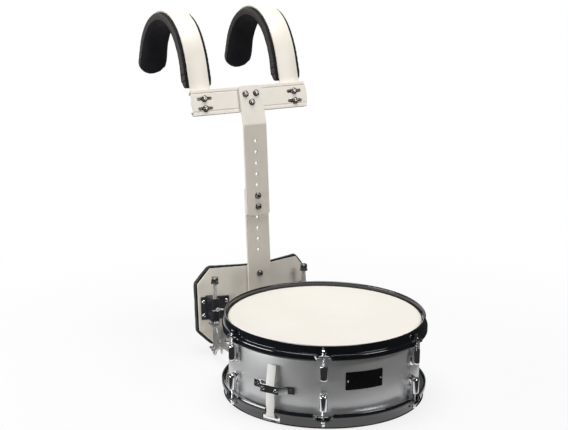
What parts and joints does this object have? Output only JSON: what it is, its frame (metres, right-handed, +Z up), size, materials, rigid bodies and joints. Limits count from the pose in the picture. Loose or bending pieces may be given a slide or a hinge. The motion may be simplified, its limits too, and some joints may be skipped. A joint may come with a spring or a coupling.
{
  "type": "marching snare drum",
  "caption": "Marching snare drum with tube lugs, snares and throw-off, hung on a padded shoulder carrier with a belly plate and height bars.",
  "frame": {"origin": "on the ground, under the middle of the footprint of the drum and its carrier", "axes": "+Z up along the drum's axis, +Y from the drum to the player, +X to the right seen from in front of the drum"},
  "size_m": [0.396, 0.7666, 0.6633],
  "materials": {
    "shell": "satin silver lacquer over a ply shell",
    "hoop": "gloss black powder coat",
    "film": "coated cream film",
    "chrome": "polished chrome",
    "badge": "plain black plate",
    "strap": "translucent white strap",
    "wire": "drawn steel wire",
    "paint": "cream powder coat on aluminium",
    "foam": "black foam with a cloth face",
    "bracket": "black paint on steel",
    "steel": "zinc plated steel",
    "bolt": "plated steel"
  },
  "bodies": {
    "drum": {"shell": "shell", "batter_head": "film", "batter_hoop": "hoop", "snare_head": "film", "snare_hoop": "hoop", "lug_upper_1": "chrome", "lug_lower_1": "chrome", "lug_upper_2": "chrome", "lug_lower_2": "chrome", "lug_upper_3": "chrome", "lug_lower_3": "chrome", "lug_upper_4": "chrome", "lug_lower_4": "chrome", "lug_upper_5": "chrome", "lug_lower_5": "chrome", "lug_upper_6": "chrome", "lug_lower_6": "chrome", "badge": "badge", "butt_plate": "chrome", "butt_clamp": "chrome", "butt_strap": "strap", "snare_wires": "wire", "strainer_body": "chrome", "hanger_hook_left": "steel", "hanger_hook_right": "steel"},
    "tension_rod_upper_1": {"tension_rod_upper_1": "chrome"},
    "tension_rod_lower_1": {"tension_rod_lower_1": "chrome"},
    "tension_rod_upper_2": {"tension_rod_upper_2": "chrome"},
    "tension_rod_lower_2": {"tension_rod_lower_2": "chrome"},
    "tension_rod_upper_3": {"tension_rod_upper_3": "chrome"},
    "tension_rod_lower_3": {"tension_rod_lower_3": "chrome"},
    "tension_rod_upper_4": {"tension_rod_upper_4": "chrome"},
    "tension_rod_lower_4": {"tension_rod_lower_4": "chrome"},
    "tension_rod_upper_5": {"tension_rod_upper_5": "chrome"},
    "tension_rod_lower_5": {"tension_rod_lower_5": "chrome"},
    "tension_rod_upper_6": {"tension_rod_upper_6": "chrome"},
    "tension_rod_lower_6": {"tension_rod_lower_6": "chrome"},
    "strainer_lever": {"strainer_lever": "chrome"},
    "strainer_slide": {"strainer_slide": "chrome"},
    "tension_knob": {"tension_knob": "chrome"},
    "carrier": {"upper_bar": "paint", "lower_bar": "paint", "height_bolt_1": "bolt", "height_bolt_2": "bolt", "belly_bolt": "bolt", "belly_plate": "paint", "belly_pad": "foam", "crossbar": "paint", "hanger_bracket_left": "bracket", "hanger_bracket_right": "bracket"},
    "hanger_rod_left": {"hanger_rod_left": "steel"},
    "wing_nut_left": {"wing_nut_left": "bolt"},
    "wing_screw_left": {"wing_screw_left": "bolt"},
    "shoulder_band_left": {"shoulder_band_left": "paint", "shoulder_pad_left": "foam"},
    "hanger_rod_right": {"hanger_rod_right": "steel"},
    "wing_nut_right": {"wing_nut_right": "bolt"},
    "wing_screw_right": {"wing_screw_right": "bolt"},
    "shoulder_band_right": {"shoulder_band_right": "paint", "shoulder_pad_right": "foam"}
  },
  "joints": [
    {"name": "rod_upper_1_turn", "type": "hinge", "parent": "drum", "child": "tension_rod_upper_1", "pos_m": [0.09525, -0.35737, 0.1378], "axis": [0, 0, 1], "range_deg": [-360, 360]},
    {"name": "rod_lower_1_turn", "type": "hinge", "parent": "drum", "child": "tension_rod_lower_1", "pos_m": [0.09525, -0.35737, 0.0178], "axis": [0, 0, -1], "range_deg": [-360, 360]},
    {"name": "rod_upper_2_turn", "type": "hinge", "parent": "drum", "child": "tension_rod_upper_2", "pos_m": [0.1905, -0.19239, 0.1378], "axis": [0, 0, 1], "range_deg": [-360, 360]},
    {"name": "rod_lower_2_turn", "type": "hinge", "parent": "drum", "child": "tension_rod_lower_2", "pos_m": [0.1905, -0.19239, 0.0178], "axis": [0, 0, -1], "range_deg": [-360, 360]},
    {"name": "rod_upper_3_turn", "type": "hinge", "parent": "drum", "child": "tension_rod_upper_3", "pos_m": [0.09525, -0.02741, 0.1378], "axis": [0, 0, 1], "range_deg": [-360, 360]},
    {"name": "rod_lower_3_turn", "type": "hinge", "parent": "drum", "child": "tension_rod_lower_3", "pos_m": [0.09525, -0.02741, 0.0178], "axis": [0, 0, -1], "range_deg": [-360, 360]},
    {"name": "rod_upper_4_turn", "type": "hinge", "parent": "drum", "child": "tension_rod_upper_4", "pos_m": [-0.09525, -0.02741, 0.1378], "axis": [0, 0, 1], "range_deg": [-360, 360]},
    {"name": "rod_lower_4_turn", "type": "hinge", "parent": "drum", "child": "tension_rod_lower_4", "pos_m": [-0.09525, -0.02741, 0.0178], "axis": [0, 0, -1], "range_deg": [-360, 360]},
    {"name": "rod_upper_5_turn", "type": "hinge", "parent": "drum", "child": "tension_rod_upper_5", "pos_m": [-0.1905, -0.19239, 0.1378], "axis": [0, 0, 1], "range_deg": [-360, 360]},
    {"name": "rod_lower_5_turn", "type": "hinge", "parent": "drum", "child": "tension_rod_lower_5", "pos_m": [-0.1905, -0.19239, 0.0178], "axis": [0, 0, -1], "range_deg": [-360, 360]},
    {"name": "rod_upper_6_turn", "type": "hinge", "parent": "drum", "child": "tension_rod_upper_6", "pos_m": [-0.09525, -0.35737, 0.1378], "axis": [0, 0, 1], "range_deg": [-360, 360]},
    {"name": "rod_lower_6_turn", "type": "hinge", "parent": "drum", "child": "tension_rod_lower_6", "pos_m": [-0.09525, -0.35737, 0.0178], "axis": [0, 0, -1], "range_deg": [-360, 360]},
    {"name": "throw_off", "type": "hinge", "parent": "drum", "child": "strainer_lever", "pos_m": [0.16844, -0.09514, 0.084], "axis": [-0.5, 0.866, 0], "range_deg": [0, 110]},
    {"name": "strainer_drop", "type": "slide", "parent": "drum", "child": "strainer_slide", "axis": [0, 0, -1], "range_m": [0, 0.003]},
    {"name": "snare_tension", "type": "hinge", "parent": "drum", "child": "tension_knob", "pos_m": [0.16021, -0.09989, 0.0968], "axis": [0, 0, 1], "range_deg": [-720, 720]},
    {"name": "carrier_height", "type": "slide", "parent": "drum", "child": "carrier", "axis": [0, 0, 1], "range_m": [0, 0.015]},
    {"name": "hanger_rod_left_turn", "type": "hinge", "parent": "drum", "child": "hanger_rod_left", "pos_m": [-0.1, 0.06861, 0.08], "axis": [0, 0, 1], "range_deg": [0, 4320]},
    {"name": "wing_nut_left_turn", "type": "hinge", "parent": "drum", "child": "wing_nut_left", "pos_m": [-0.1, 0.06861, 0.07], "axis": [0, 0, 1], "range_deg": [-360, 360]},
    {"name": "wing_screw_left_turn", "type": "hinge", "parent": "carrier", "child": "wing_screw_left", "pos_m": [-0.1, 0.05661, 0.0995], "axis": [0, 1, 0], "range_deg": [-360, 360]},
    {"name": "band_left_slide", "type": "slide", "parent": "carrier", "child": "shoulder_band_left", "axis": [-1, 0, 0], "range_m": [-0.012, 0.012]},
    {"name": "hanger_rod_right_turn", "type": "hinge", "parent": "drum", "child": "hanger_rod_right", "pos_m": [0.1, 0.06861, 0.08], "axis": [0, 0, 1], "range_deg": [0, 4320]},
    {"name": "wing_nut_right_turn", "type": "hinge", "parent": "drum", "child": "wing_nut_right", "pos_m": [0.1, 0.06861, 0.07], "axis": [0, 0, 1], "range_deg": [-360, 360]},
    {"name": "wing_screw_right_turn", "type": "hinge", "parent": "carrier", "child": "wing_screw_right", "pos_m": [0.1, 0.05661, 0.0995], "axis": [0, 1, 0], "range_deg": [-360, 360]},
    {"name": "band_right_slide", "type": "slide", "parent": "carrier", "child": "shoulder_band_right", "axis": [1, 0, 0], "range_m": [-0.012, 0.012]}
  ],
  "couplings": [
    {"joint": "strainer_drop", "follows": "throw_off", "m_per_rad": 0.001561},
    {"joint": "hanger_rod_left_turn", "follows": "carrier_height", "rad_per_m": 5026},
    {"joint": "hanger_rod_right_turn", "follows": "carrier_height", "rad_per_m": 5026}
  ]
}
